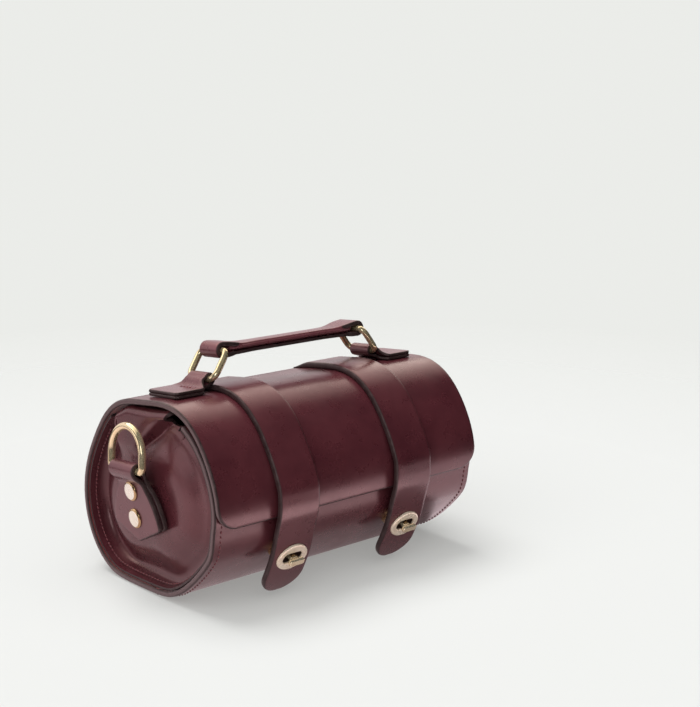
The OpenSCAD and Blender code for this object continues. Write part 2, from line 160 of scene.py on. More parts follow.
def rolled(p):
    """Tilts points of the handle about the line where the ring bars are, front side up."""
    p = A(p)
    a = math.radians(ROLL)
    y, z = p[..., 1] - H_Y, p[..., 2] - RING_Z
    return np.stack([p[..., 0], H_Y + y * math.cos(a) + z * math.sin(a), RING_Z - y * math.sin(a) + z * math.cos(a)], -1)


def smooth_line(points, per=24):
    """A line through the points, rounded between them (centripetal Catmull-Rom)."""
    p = A(points)
    p = np.vstack([2 * p[0] - p[1], p, 2 * p[-1] - p[-2]])
    out = []
    for i in range(1, len(p) - 2):
        t = [0.0]
        for k in range(3):
            t.append(t[-1] + max(1e-6, np.linalg.norm(p[i + k] - p[i + k - 1])) ** 0.5)
        u = np.linspace(t[1], t[2], per, endpoint=False)[:, None]
        a1 = (t[1] - u) / (t[1] - t[0]) * p[i - 1] + (u - t[0]) / (t[1] - t[0]) * p[i]
        a2 = (t[2] - u) / (t[2] - t[1]) * p[i] + (u - t[1]) / (t[2] - t[1]) * p[i + 1]
        a3 = (t[3] - u) / (t[3] - t[2]) * p[i + 1] + (u - t[2]) / (t[3] - t[2]) * p[i + 2]
        b1 = (t[2] - u) / (t[2] - t[0]) * a1 + (u - t[0]) / (t[2] - t[0]) * a2
        b2 = (t[3] - u) / (t[3] - t[1]) * a2 + (u - t[1]) / (t[3] - t[1]) * a3
        out.append((t[2] - u) / (t[2] - t[1]) * b1 + (u - t[1]) / (t[2] - t[1]) * b2)
    return np.vstack(out + [p[-2][None]])


class Line:
    """A flat line read by its length in millimetres, with normals to its right hand side."""

    def __init__(self, pts, soft=2.0):
        p = A(pts)
        s = np.r_[0, np.cumsum(np.linalg.norm(np.diff(p, axis=0), axis=1))]
        self.length = s[-1]
        n = max(8, int(self.length / 0.2))
        self.s = np.linspace(0, self.length, n)
        self.p = np.stack([np.interp(self.s, s, p[:, k]) for k in (0, 1)], -1)
        t = np.gradient(self.p, axis=0)
        t /= np.linalg.norm(t, axis=1, keepdims=True)
        w = int(soft / 0.2)
        if w > 1:
            k = np.hanning(w + 2)[1:-1]
            k /= k.sum()
            pad = np.vstack([np.repeat(t[:1], w, 0), t, np.repeat(t[-1:], w, 0)])
            t = np.stack([np.convolve(pad[:, i], k, "same") for i in (0, 1)], -1)[w:-w]
            t /= np.linalg.norm(t, axis=1, keepdims=True)
        self.n = np.stack([t[:, 1], -t[:, 0]], -1)

    def at(self, s, o=0.0):
        s, o = np.broadcast_arrays(A(s), A(o))
        p = np.stack([np.interp(s, self.s, self.p[:, k]) for k in (0, 1)], -1)
        n = np.stack([np.interp(s, self.s, self.n[:, k]) for k in (0, 1)], -1)
        n /= np.linalg.norm(n, axis=-1, keepdims=True)
        return p + o[..., None] * n

    def s_near(self, q):
        return self.s[np.argmin(((self.p - A(q)) ** 2).sum(1))]


# ---- Meshes ---------------------------------------------------------------------
def new_object(name, verts, faces, mats, face_mats=None, attrs=None, smooth=35.0):
    me = bpy.data.meshes.new(name)
    me.from_pydata([tuple(v) for v in A(verts) * MM], [], [tuple(int(i) for i in f) for f in faces])
    for m in mats:
        me.materials.append(m)
    if face_mats is not None:
        me.polygons.foreach_set("material_index", np.asarray(face_mats, np.int32))
    for key, values in (attrs or {}).items():
        at = me.attributes.new(key, "FLOAT", "POINT")
        at.data.foreach_set("value", A(values).astype(np.float32))
    bm = bmesh.new()
    bm.from_mesh(me)
    bmesh.ops.recalc_face_normals(bm, faces=bm.faces)
    bm.to_mesh(me)
    bm.free()
    me.polygons.foreach_set("use_smooth", [True] * len(me.polygons))
    if smooth:
        me.set_sharp_from_angle(angle=math.radians(smooth))
    me.update()
    o = bpy.data.objects.new(name, me)
    scene.collection.objects.link(o)
    return o


def columns(width, step, near=(0.35, 0.8, 1.4, 2.2, 3.4)):
    """Shares from 0 to 1 across a strip: close together at both sides."""
    side = [0.0] + [d for d in near if d < width / 2 - 0.5]
    inner = width - 2 * side[-1]
    n = max(2, int(round(inner / step)))
    mid = [side[-1] + inner * i / n for i in range(1, n)]
    return A(side + mid + [width - d for d in reversed(side)]) / width


def slab(name, place, rows, left, right, half, re, mats, step=4.5, cut0=False, cut1=False,
         arc=4, crown=0.0, paint=0.3, near=(0.35, 0.8, 1.4, 2.2, 3.4)):
    """A strip of leather with rounded, painted edges. place(a, s, o) gives the point at a across, s along and o
    outside its middle surface. rows are values of s; left and right are the outline's a at each row."""
    rows, left, right = A(rows), A(left), A(right)
    n = len(rows)
    xi = columns(float((right - left).max()) - 2 * re, step, near)
    m = len(xi)
    loop = [(0, j) for j in range(m)] + [(i, m - 1) for i in range(1, n - 1)]
    loop += [(n - 1, j) for j in range(m - 1, -1, -1)] + [(i, 0) for i in range(n - 2, 0, -1)]
    rim = A([[left[i] + (right[i] - left[i]) * xi[j], rows[i]] for i, j in loop])
    e1 = rim - np.roll(rim, 1, 0)
    e2 = np.roll(rim, -1, 0) - rim
    nrm = []
    for a, b in zip(e1, e2):
        na = A([a[1], -a[0]]) / max(1e-9, np.linalg.norm(a))
        nb = A([b[1], -b[0]]) / max(1e-9, np.linalg.norm(b))
        v = na + nb
        v /= max(1e-9, np.linalg.norm(v))
        nrm.append(v / max(0.75, float(v @ na)))
    nrm = A(nrm)
    for k, (i, j) in enumerate(loop):
        if (cut0 and i == 0) or (cut1 and i == n - 1):
            side = -1 if j == 0 else 1 if j == m - 1 else 0
            nrm[k] = (side, 0)
    inset = rim - nrm * re
    where = {ij: k for k, ij in enumerate(loop)}
    ga, gs = np.zeros((n, m)), np.zeros((n, m))
    for i in range(n):
        l, r = inset[where[(i, 0)]], inset[where[(i, m - 1)]]
        ga[i] = l[0] + (r[0] - l[0]) * xi
        gs[i] = l[1] + (r[1] - l[1]) * xi
        if i in (0, n - 1):
            for j in range(1, m - 1):
                ga[i, j], gs[i, j] = inset[where[(i, j)]]
    edge = np.minimum(ga - left[:, None], right[:, None] - ga)
    if not cut0:
        edge = np.minimum(edge, gs - rows[0])
    if not cut1:
        edge = np.minimum(edge, rows[-1] - gs)
    mid = (left + right)[:, None] / 2
    hw = np.maximum(1e-6, (right - left)[:, None] / 2)
    drop = crown * np.clip((ga - mid) / hw, -1, 1) ** 2
    top = place(ga.ravel(), gs.ravel(), (half - drop).ravel())
    bot = place(ga.ravel(), gs.ravel(), np.full(ga.size, -half))
    verts, edges = [top, bot], [edge.ravel(), edge.ravel()]
    across = [np.ones(top.shape[0]), -np.ones(bot.shape[0])]
    gid = lambda i, j: i * m + j
    base = 2 * n * m
    prof = [(math.sin(a) - 1, math.cos(a)) for a in np.linspace(0, math.pi / 2, arc + 1)]
    steps = [(re * d, half - re + re * h) for d, h in prof[1:]]
    if half - re > 0.05:
        steps += [(re * d, -(half - re) - re * h) for d, h in reversed(prof[1:])]
    else:
        steps += [(re * d, -(half - re) - re * h) for d, h in reversed(prof[1:-1])]
    rings = []
    for d, h in steps:
        q = rim + nrm * d
        hh = np.full(len(loop), h)
        if crown and h > 0:
            hh -= crown * np.array([1.0 if j in (0, m - 1) else abs(2 * xi[j] - 1) ** 2 for i, j in loop]) * h / half
        verts.append(place(q[:, 0], q[:, 1], hh))
        edges.append(np.zeros(len(loop)))
        across.append(np.full(len(loop), h / half))
        rings.append([base + k for k in range(len(loop))])
        base += len(loop)
    t_loop = [gid(i, j) for i, j in loop]
    b_loop = [n * m + gid(i, j) for i, j in loop]
    faces, fm = [], []
    for i in range(n - 1):
        for j in range(m - 1):
            faces.append((gid(i, j), gid(i, j + 1), gid(i + 1, j + 1), gid(i + 1, j)))
            fm.append(0)
            faces.append(tuple(n * m + v for v in (gid(i, j), gid(i + 1, j), gid(i + 1, j + 1), gid(i, j + 1))))
            fm.append(2)
    seq = [t_loop] + rings + [b_loop]
    k_paint = max(0, int(arc * paint))
    open_pairs = set()
    for k in range(len(loop)):
        k2 = (k + 1) % len(loop)
        i1, i2 = loop[k][0], loop[k2][0]
        if (cut0 and i1 == 0 and i2 == 0) or (cut1 and i1 == n - 1 and i2 == n - 1):
            open_pairs.add(k)
            continue
        for r in range(len(seq) - 1):
            faces.append((seq[r][k], seq[r][k2], seq[r + 1][k2], seq[r + 1][k]))
            fm.append(0 if r < k_paint else 2 if r >= len(seq) - 1 - k_paint else 1)
    for flag, i in ((cut0, 0), (cut1, n - 1)):
        if flag:
            ring = [gid(i, j) for j in range(m)] + [r[where[(i, m - 1)]] for r in rings]
            ring += [n * m + gid(i, j) for j in range(m - 1, -1, -1)] + [r[where[(i, 0)]] for r in reversed(rings)]
            faces.append(tuple(ring))
            fm.append(2)
    used = sorted({v for f in faces for v in f})
    remap = {v: k for k, v in enumerate(used)}
    verts, edges, across = np.vstack(verts), np.concatenate(edges), np.concatenate(across)
    return new_object(name, verts[used], [[remap[v] for v in f] for f in faces], mats, fm, {"edge": edges[used], "across": across[used]})


def loft(name, rings, mats, face_mat=None, closed=False, smooth=35.0, cap_mat=0):
    """A closed skin through rings of points; closed joins the last ring to the first."""
    rings = A(rings)
    n, m = rings.shape[:2]
    faces, fm = [], []
    for i in range(n if closed else n - 1):
        i2 = (i + 1) % n
        for j in range(m):
            j2 = (j + 1) % m
            faces.append((i * m + j, i * m + j2, i2 * m + j2, i2 * m + j))
            fm.append(face_mat(i, j) if face_mat else 0)
    if not closed:
        faces.append(tuple(range(m)))
        faces.append(tuple((n - 1) * m + j for j in range(m)))
        fm += [cap_mat, cap_mat]
    return new_object(name, rings.reshape(-1, 3), faces, mats, fm, smooth=smooth)


def sweep(name, pts, r, mats, closed=True, sides=20, flat=None):
    """A round wire along a 3-D line. flat is the normal of the plane that the line lies in."""
    p = A(pts)
    t = (np.roll(p, -1, 0) - np.roll(p, 1, 0)) if closed else np.gradient(p, axis=0)
    t /= np.linalg.norm(t, axis=1, keepdims=True)
    b = np.tile(A(flat) / np.linalg.norm(flat), (len(p), 1))
    u = np.cross(b, t)
    u /= np.linalg.norm(u, axis=1, keepdims=True)
    b = np.cross(t, u)
    a = np.linspace(0, 2 * np.pi, sides, endpoint=False)
    rings = p[:, None] + r * (u[:, None] * np.cos(a)[None, :, None] + b[:, None] * np.sin(a)[None, :, None])
    return loft(name, rings, mats, closed=closed, smooth=None)


def grow_corners(lo, hi, step):
    return list(np.linspace(lo, hi, max(2, int(round((hi - lo) / step)) + 1)))


# ---- Materials --------------------------------------------------------------------
def nodes_of(name):
    m = bpy.data.materials.new(name)
    m.use_nodes = True
    nt = m.node_tree
    nt.nodes.clear()
    out = nt.nodes.new("ShaderNodeOutputMaterial")
    bsdf = nt.nodes.new("ShaderNodeBsdfPrincipled")
    nt.links.new(bsdf.outputs[0], out.inputs[0])
    return m, nt, bsdf


def node(nt, kind, **values):
    n = nt.nodes.new(kind)
    for k, v in values.items():
        if k in n.inputs:
            n.inputs[k].default_value = v
        else:
            setattr(n, k, v)
    return n


def noise(nt, co, scale, detail=3.0, rough=0.55, **extra):
    n = node(nt, "ShaderNodeTexNoise", **extra)
    n.inputs["Scale"].default_value = scale
    n.inputs["Detail"].default_value = detail
    n.inputs["Roughness"].default_value = rough
    nt.links.new(co, n.inputs["Vector"])
    return n.outputs["Fac"]


def ramp(nt, fac, stops):
    n = nt.nodes.new("ShaderNodeValToRGB")
    el = n.color_ramp.elements
    while len(el) < len(stops):
        el.new(0.5)
    for e, (p, c) in zip(el, stops):
        e.position = p
        e.color = (*c, 1) if len(c) == 3 else c
    nt.links.new(fac, n.inputs[0])
    return n.outputs[0]


def span(nt, fac, a, b, lo, hi):
    n = nt.nodes.new("ShaderNodeMapRange")
    n.inputs["From Min"].default_value = a
    n.inputs["From Max"].default_value = b
    n.inputs["To Min"].default_value = lo
    n.inputs["To Max"].default_value = hi
    nt.links.new(fac, n.inputs["Value"])
    return n.outputs[0]


def maths(nt, op, a, b):
    n = nt.nodes.new("ShaderNodeMath")
    n.operation = op
    for k, v in enumerate((a, b)):
        if isinstance(v, (int, float)):
            n.inputs[k].default_value = v
        else:
            nt.links.new(v, n.inputs[k])
    return n.outputs[0]


def mix(nt, fac, a, b, mode="MIX"):
    n = nt.nodes.new("ShaderNodeMix")
    n.data_type = "RGBA"
    n.blend_type = mode
    for key, v in (("Factor", fac), ("A", a), ("B", b)):
        i = [s for s in n.inputs if s.name == key and s.enabled][0]
        if isinstance(v, (int, float)):
            i.default_value = v
        elif isinstance(v, tuple):
            i.default_value = (*v, 1) if len(v) == 3 else v
        else:
            nt.links.new(v, i)
    return [o for o in n.outputs if o.enabled][0]


def bumps(nt, bsdf, layers):
    last = None
    for height, strength, dist in layers:
        n = nt.nodes.new("ShaderNodeBump")
        n.inputs["Strength"].default_value = strength
        n.inputs["Distance"].default_value = dist
        nt.links.new(height, n.inputs["Height"])
        if last is not None:
            nt.links.new(last, n.inputs["Normal"])
        last = n.outputs["Normal"]
    nt.links.new(last, bsdf.inputs["Normal"])


def leather(name, dark, light, rough=(0.24, 0.34), grain=0.10, wave=0.16, coat=0.12, rim=True, spec=0.95):
    m, nt, b = nodes_of(name)
    co = nt.nodes.new("ShaderNodeTexCoord").outputs["Object"]
    broad = noise(nt, co, 26, 3, 0.6)
    mottle = noise(nt, co, 190, 4, 0.6)
    tint = maths(nt, "ADD", maths(nt, "MULTIPLY", broad, 0.75), maths(nt, "MULTIPLY", mottle, 0.25))
    col = ramp(nt, tint, [(0.36, dark), (0.64, light)])
    if rim:
        at = node(nt, "ShaderNodeAttribute", attribute_name="edge")
        d = at.outputs["Fac"]
        near = span(nt, d, 0.0, 1.5, 1.0, 0.0)
        col = mix(nt, maths(nt, "MULTIPLY", near, 0.45), col, tuple(0.45 * v for v in dark))
        line = maths(nt, "SUBTRACT", span(nt, d, 1.0, 1.3, 0.0, 1.0), span(nt, d, 1.3, 1.7, 0.0, 1.0))
    nt.links.new(col, b.inputs["Base Color"])
    r = span(nt, noise(nt, co, 75, 4, 0.65), 0.3, 0.7, rough[0], rough[1])
    nt.links.new(r, b.inputs["Roughness"])
    b.inputs["Specular IOR Level"].default_value = spec
    b.inputs["Specular Tint"].default_value = (1.0, 0.66, 0.66, 1)
    b.inputs["Coat Weight"].default_value = coat
    b.inputs["Coat Roughness"].default_value = 0.16
    b.inputs["Coat IOR"].default_value = 1.5
    layers = [(noise(nt, co, 24, 2, 0.5), wave, 0.0012), (noise(nt, co, 260, 2, 0.5), grain, 0.00006)]
    if rim:
        layers.append((maths(nt, "MULTIPLY", line, -1.0), 0.25, 0.00025))
    bumps(nt, b, layers)
    return m


def edge_paint(name, dark, light, crest_highlight=None):
    m, nt, b = nodes_of(name)
    co = nt.nodes.new("ShaderNodeTexCoord").outputs["Object"]
    col = ramp(nt, noise(nt, co, 260, 4, 0.6), [(0.35, dark), (0.68, light)])
    # With a middle colour given, the crest of the rounded edge (across near 0) turns lighter: a painted highlight
    # along it, not a colour of the paint.
    if crest_highlight:
        at = node(nt, "ShaderNodeAttribute", attribute_name="across")
        far = maths(nt, "ABSOLUTE", at.outputs["Fac"], 0.0)
        far = maths(nt, "ADD", far, span(nt, noise(nt, co, 220, 3, 0.6), 0.3, 0.7, -0.08, 0.08))
        col = mix(nt, span(nt, far, 0.42, 0.78, 1.0, 0.0), col, crest_highlight)
    nt.links.new(col, b.inputs["Base Color"])
    nt.links.new(span(nt, noise(nt, co, 400, 3, 0.6), 0.3, 0.7, 0.30, 0.48), b.inputs["Roughness"])
    b.inputs["Specular IOR Level"].default_value = 0.55
    b.inputs["Specular Tint"].default_value = (1.0, 0.80, 0.80, 1)
    bumps(nt, b, [(noise(nt, co, 160, 3, 0.6), 0.35, 0.0003), (noise(nt, co, 1400, 2, 0.6), 0.2, 0.00008)])
    return m


def suede(name, dark, light):
    m, nt, b = nodes_of(name)
    co = nt.nodes.new("ShaderNodeTexCoord").outputs["Object"]
    col = ramp(nt, noise(nt, co, 120, 5, 0.7), [(0.3, dark), (0.7, light)])
    nt.links.new(col, b.inputs["Base Color"])
    b.inputs["Roughness"].default_value = 0.85
    b.inputs["Sheen Weight"].default_value = 0.3
    b.inputs["Sheen Roughness"].default_value = 0.5
    bumps(nt, b, [(noise(nt, co, 1600, 3, 0.7), 0.5, 0.00015), (noise(nt, co, 60, 2, 0.5), 0.2, 0.0006)])
    return m


def metal(name, dark, light, rough=(0.08, 0.13), scratch=0.010, share=0.84):
    m, nt, b = nodes_of(name)
    co = nt.nodes.new("ShaderNodeTexCoord").outputs["Object"]
    col = ramp(nt, noise(nt, co, 140, 3, 0.6), [(0.3, dark), (0.7, light)])
    nt.links.new(col, b.inputs["Base Color"])
    b.inputs["Metallic"].default_value = share
    nt.links.new(span(nt, noise(nt, co, 130, 2, 0.5), 0.3, 0.72, rough[0], rough[1]), b.inputs["Roughness"])
    stretch = nt.nodes.new("ShaderNodeMapping")
    stretch.inputs["Scale"].default_value = (1.0, 9.0, 1.0)
    nt.links.new(co, stretch.inputs["Vector"])
    bumps(nt, b, [(noise(nt, stretch.outputs[0], 120, 2, 0.5), scratch, 0.0001), (noise(nt, co, 90, 2, 0.5), 0.03, 0.0004)])
    return m


def thread_look(name, dark, light):
    m, nt, b = nodes_of(name)
    co = nt.nodes.new("ShaderNodeTexCoord").outputs["Object"]
    col = ramp(nt, noise(nt, co, 900, 3, 0.6), [(0.3, dark), (0.7, light)])
    nt.links.new(col, b.inputs["Base Color"])
    b.inputs["Roughness"].default_value = 0.55
    b.inputs["Sheen Weight"].default_value = 0.25
    w = node(nt, "ShaderNodeTexWave", wave_type="BANDS", bands_direction="DIAGONAL")
    w.inputs["Scale"].default_value = 900
    nt.links.new(co, w.inputs["Vector"])
    bumps(nt, b, [(w.outputs["Fac"], 0.4, 0.0001)])
    return m


M_PANEL = leather("panel_leather", (0.052, 0.0105, 0.0150), (0.082, 0.0190, 0.0245), grain=0.035)
M_GUSSET = leather("gusset_leather", (0.054, 0.0110, 0.0155), (0.084, 0.0195, 0.0250), grain=0.035, rim=False, wave=0.04)
M_STRAP = leather("strap_leather", (0.054, 0.0115, 0.0160), (0.084, 0.0200, 0.0255), grain=0.035)
# The grip's leather is the strap leather made lighter: painted light for the light its rounded sides catch.
M_GRIP_PAINTED_LIGHT = leather("grip_leather_painted_lighter", (0.094, 0.0250, 0.0320), (0.138, 0.0410, 0.0500), grain=0.035, rim=False)
# Lighter than the panel leather: partly a lighter, rougher hide, partly painted light for the strong light from the
# left that falls on the chapes.
M_CHAPE = leather("chape_leather", (0.078, 0.0225, 0.0290), (0.116, 0.0370, 0.0450), grain=0.05, wave=0.08)
M_EDGE = edge_paint("edge_paint", (0.022, 0.0125, 0.0125), (0.046, 0.029, 0.029))
# The panel's edges carry a painted highlight: a lighter line along the crest of the rounded edge, dark at both
# borders.
M_BAND_PAINTED_HIGHLIGHT = edge_paint("edge_paint_panel_with_painted_highlight", (0.020, 0.0105, 0.0110), (0.040, 0.024, 0.024), (0.108, 0.070, 0.072))
M_LINING = suede("lining", (0.16, 0.015, 0.018), (0.27, 0.033, 0.035))
M_GOLD = metal("pale_gold", (0.90, 0.74, 0.43), (0.97, 0.84, 0.56))
M_PLATE = metal("brushed_gold", (0.92, 0.75, 0.58), (0.98, 0.86, 0.70), rough=(0.24, 0.32), scratch=0.008, share=0.50)
M_TOGGLE = metal("toggle_gold", (0.95, 0.80, 0.52), (0.99, 0.89, 0.66), rough=(0.16, 0.22), scratch=0.004, share=0.80)
M_CAP = metal("cap_gold", (0.93, 0.86, 0.72), (0.98, 0.94, 0.83), rough=(0.26, 0.34), scratch=0.012, share=0.5)
# A darker copy of the gold: painted shade. On the rivets' rolled rims it stands for the dark they reflect; on the
# lock pieces, for the shade under the eyelet plate.
M_GOLD_PAINTED_SHADE = metal("gold_painted_shade", (0.50, 0.34, 0.17), (0.66, 0.47, 0.26), rough=(0.18, 0.26), share=0.95)
M_THREAD = thread_look("thread", (0.085, 0.011, 0.016), (0.20, 0.030, 0.040))


def ride(o, body, slot, *cad):
    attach(o, body)
    if cad:
        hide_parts(*cad)
    return o


def apply_all(o):
    """Turns an object's modifiers into mesh."""
    dg = bpy.context.evaluated_depsgraph_get()
    dg.update()
    me = bpy.data.meshes.new_from_object(o.evaluated_get(dg), preserve_all_data_layers=True, depsgraph=dg)
    old = o.data
    o.modifiers.clear()
    o.data = me
    bpy.data.meshes.remove(old)
    return o


def shade(o, angle=35.0):
    o.data.polygons.foreach_set("use_smooth", [True] * len(o.data.polygons))
    o.data.set_sharp_from_angle(angle=math.radians(angle))
    return o


# ---- Panel ------------------------------------------------------------------------
T_SEAM = 262.0
tt = np.arange(T_SEAM, 360 + FLAP_T + 0.01, 0.25)
wrap = Line(oval(tt % 360, 0.0), soft=3.0)
front_t = np.arange(MOUTH_T, T_SEAM + 0.01, 0.25)
front = Line(oval(front_t, tuck(front_t)), soft=3.0)


def on_line(line, thick):
    def place(a, s, o):
        q = line.at(s, o - thick / 2)
        return np.stack([a, q[:, 0], q[:, 1]], -1)
    return place


R_FLAP = 12.0
phi = np.radians(np.arange(0, 91, 7.5))
rows = grow_corners(0, wrap.length - R_FLAP, 2.0)[:-1] + list(wrap.length - R_FLAP * (1 - np.sin(phi)))
half_w = np.array([90.0 if s < wrap.length - R_FLAP else 90 - R_FLAP + R_FLAP * math.sqrt(max(0, 1 - ((s - wrap.length + R_FLAP) / R_FLAP) ** 2)) for s in rows])
panel = slab("panel_back_and_flap", on_line(wrap, PANEL_T), rows, -half_w, half_w, 1.5, 1.1, [M_PANEL, M_BAND_PAINTED_HIGHLIGHT, M_LINING], cut0=True, paint=0.0)
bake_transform(panel)
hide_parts("flap_panel", "body_shell")

rows = grow_corners(0, front.length, 2.0)
lower = slab("panel_front", on_line(front, PANEL_T), rows, np.full(len(rows), -90.0), np.full(len(rows), 90.0), 1.5, 1.1,
             [M_PANEL, M_BAND_PAINTED_HIGHLIGHT, M_LINING], cut1=True, paint=0.0)
ride(lower, "body", "panel_leather")

# ---- Straps -------------------------------------------------------------------------
STRAP_T0 = 68.0
t_on = np.arange(STRAP_T0, 160.1, 1.0)
lift_o = 0.05 + 1.9 * ss((t_on - 148) / 28)
skive = 0.6 + (STRAP_T - 0.6) * ss((t_on - STRAP_T0) / 16)
strap_pts = list(oval(t_on, lift_o + skive))
strap_pts += [(-66.95, 62.8), (-67.35, 57.3), (-67.35, 52.3), (-66.75, 48.0), (-65.2, 42.8), (-63.55, 37.4),
              (-61.75, 31.2), tuple(LOCK_P), (-56.55, 18.2), (-53.3, 12.0), (-50.1, 6.8), (-46.95, 2.4)]
strap_line = Line(smooth_line(strap_pts, 10), soft=3.0)


def on_strap(a, s, o):
    """The strap's rear end thins out to lie flush on the flap."""
    k = (0.6 + (STRAP_T - 0.6) * ss(A(s) / 13.5)) / STRAP_T
    q = strap_line.at(s, (o - STRAP_T / 2) * k)
    return np.stack([a, q[:, 0], q[:, 1]], -1)


def at_lock(x, u, v, w):
    """Points from the eyelet plate's middle: u along the bag, v up the strap, w outwards."""
    c, s = math.cos(math.radians(LOCK_A)), math.sin(math.radians(LOCK_A))
    u, v, w = A(u), A(v), A(w)
    return np.stack([x + u, LOCK_P[0] - v * s - w * c, LOCK_P[1] + v * c - w * s], -1)


def stadium(l, h, n):
    """Points round a slot with round ends."""
    a = np.linspace(0, 2 * np.pi, n, endpoint=False)
    x, y = np.cos(a), np.sin(a)
    k = (l - h) / 2
    big = np.stack([x * h / 2 + np.where(x >= 0, k, -k) * np.minimum(1, np.abs(x) * 8), y * h / 2], -1)
    return big


def cut(o, tool):
    m = o.modifiers.new("cut", "BOOLEAN")
    m.operation = "DIFFERENCE"
    m.solver = "EXACT"
    m.object = tool
    apply_all(o)
    bpy.data.objects.remove(tool)
    return o


for side, x in STRAPS.items():
    end = strap_line.length
    rr = STRAP_W / 2
    ph = np.radians(np.arange(0, 83, 6.0))
    rows = [0.0, 0.6] + grow_corners(2.0, end - rr, 1.8)[:-1] + list(end - rr * (1 - np.sin(ph)))
    hw = np.array([rr if s < end - rr else rr * math.sqrt(max(0, 1 - ((s - end + rr) / rr) ** 2)) for s in rows])
    hw[0] = rr - 0.4
    strap = slab("strap_" + side, on_strap, rows, x - hw, x + hw, STRAP_T / 2, 1.15, [M_STRAP, M_EDGE, M_LINING], step=2.6, arc=4)
    ring = stadium(12.6, 6.0, 48)
    tool = loft("tool", [at_lock(x, ring[:, 0], ring[:, 1], np.full(48, w)) for w in (-9.0, 5.0)], [M_EDGE])
    cut(strap, tool)
    shade(strap)
    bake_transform(strap)
    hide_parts("strap_upper_" + side, "strap_tip_" + side)

    # Eyelet plate: an oval with a rounded rim and a slot with a rounded lip.
    n = 96
    a = np.linspace(0, 2 * np.pi, n, endpoint=False)
    k = 1 + 0.02 * np.cos(2 * a) ** 2
    out = np.stack([19.5 / 2 * np.cos(a) / 1.02 * k, 15.6 / 2 * np.sin(a) / 1.02 * k], -1)
    hole = stadium(12.3, 5.9, n)
    shrink = lambda ring, d: ring * (1 - d / np.linalg.norm(ring, axis=1, keepdims=True))
    rings = []
    for d, w in ((0.0, 0.03), (0.0, 0.45), (0.12, 0.75), (0.38, 1.0), (0.8, 1.12), (1.3, 1.15)):
        rings.append((shrink(out, d), w))
    for d, w in ((1.3, 1.15), (0.6, 1.12), (0.28, 1.0), (0.08, 0.75), (0.0, 0.4), (0.0, 0.03)):
        rings.append((shrink(hole, -d), w))
    pts = [at_lock(x, q[:, 0], q[:, 1], w - q[:, 1] ** 2 / (2 * ARC_R)) for q, w in rings]
    plate = loft("lock_plate_" + side, pts, [M_PLATE], closed=True, smooth=50)
    ride(plate, "strap_tip_" + side, "hardware", "eyelet_front_" + side)

    # Turning head: a post through the slot and a bar across it.
    def pill(l, h, r, m=48):
        t = np.linspace(0, 2 * np.pi, m, endpoint=False)
        c, s = np.cos(t), np.sin(t)
        return np.stack([np.sign(c) * (l / 2 - r) + r * c, np.sign(s) * (h / 2 - r) + r * s], -1)
    layers = [(pill(4.4, 2.3, 0.7), -3.0), (pill(4.4, 2.3, 0.7), 1.6), (pill(4.2, 2.2, 0.7), 2.5), (pill(6.4, 2.9, 0.9), 2.9),
              (pill(8.8, 3.2, 1.2), 3.2), (pill(9.4, 3.4, 1.4), 3.7), (pill(9.5, 3.5, 1.5), 4.6), (pill(9.3, 3.3, 1.4), 5.1), (pill(8.7, 2.8, 1.2), 5.4)]
    toggle = loft("toggle_head_" + side, [at_lock(x, q[:, 0], q[:, 1], np.full(48, w)) for q, w in layers], [M_TOGGLE], smooth=40)
    ride(toggle, "toggle_" + side, "hardware", "toggle_" + side)

# ---- Gussets --------------------------------------------------------------------------
GUS_C = A([1.0, 50.8])
F_S = [4.1, 4.15, 4.4, 5.5, 7.5, 10.2, 13.2, 16.2, 19.2, 22.4, 26, 31, 38]
F_D = [1.3, 4.0, 7.5, 10.3, 12.1, 12.5, 11.4, 9.3, 6.9, 4.7, 3.1, 2.2, 1.9]
prof = smooth_line(np.stack([F_S, F_D], -1), 8)   # 12 spans of 8


def gus_o(t):
    t = t % 360
    if t < 50:
        return 0.0
    if t < 62:
        return float(-3.6 * ss((t - 50) / 10))
    if t < 112:
        return -3.6
    if t < MOUTH_T + 2:
        return float(-3.6 - 1.1 * ss((t - 112) / 15))
    return float(tuck(t))


def dome_d(s, t):
    d = np.interp(s, prof[40:, 0], prof[40:, 1])
    k = 0.8 + 0.2 * math.cos(math.radians(t + 35))
    w = np.clip((26 - s) / 12, 0, 1)
    return d * (1 - (1 - k) * w)


# The tongue at the gusset's top, rear end first, and the open notch in front of it.
EAR = smooth_line([(26.5, 79.5), (28.5, 83.4), (29.1, 87.6), (27.4, 90.2), (19.6, 95.1), (8.5, 96.3), (-2.5, 97.1), (-20.9, 99.2), (-25.5, 98.4), (-31.5, 95.2), (-38, 90)], 8)
EAR_A = np.degrees(np.arctan2(EAR[:, 1] - GUS_C[1], EAR[:, 0] - GUS_C[0]))
EAR_R = np.hypot(EAR[:, 0] - GUS_C[0], EAR[:, 1] - GUS_C[1])
NOTCH = [(-24.0, 103.4), (-16.9, 96.4), (-15.9, 95.0), (-15.6, 93.8), (-16.2, 92.8), (-17.8, 92.2), (-24, 92.2), (-29.6, 93.8), (-40, 101), (-40, 103.4)]
FACE_D = 1.5


def tongue(q):
    """1 on the flat tongue, 0 where the gusset is its dome and channel."""
    a1, b1 = A((-20.9, 99.2)), A((-6.8, 87.1))
    n1 = A([-(b1 - a1)[1], (b1 - a1)[0]])
    n1 /= np.linalg.norm(n1)
    e = ss(((q - a1) @ n1 + 2.2) / 6.5) * ss((29.0 - q[:, 0]) / 2.6)
    return e * ss((q[:, 1] - 64) / 13)


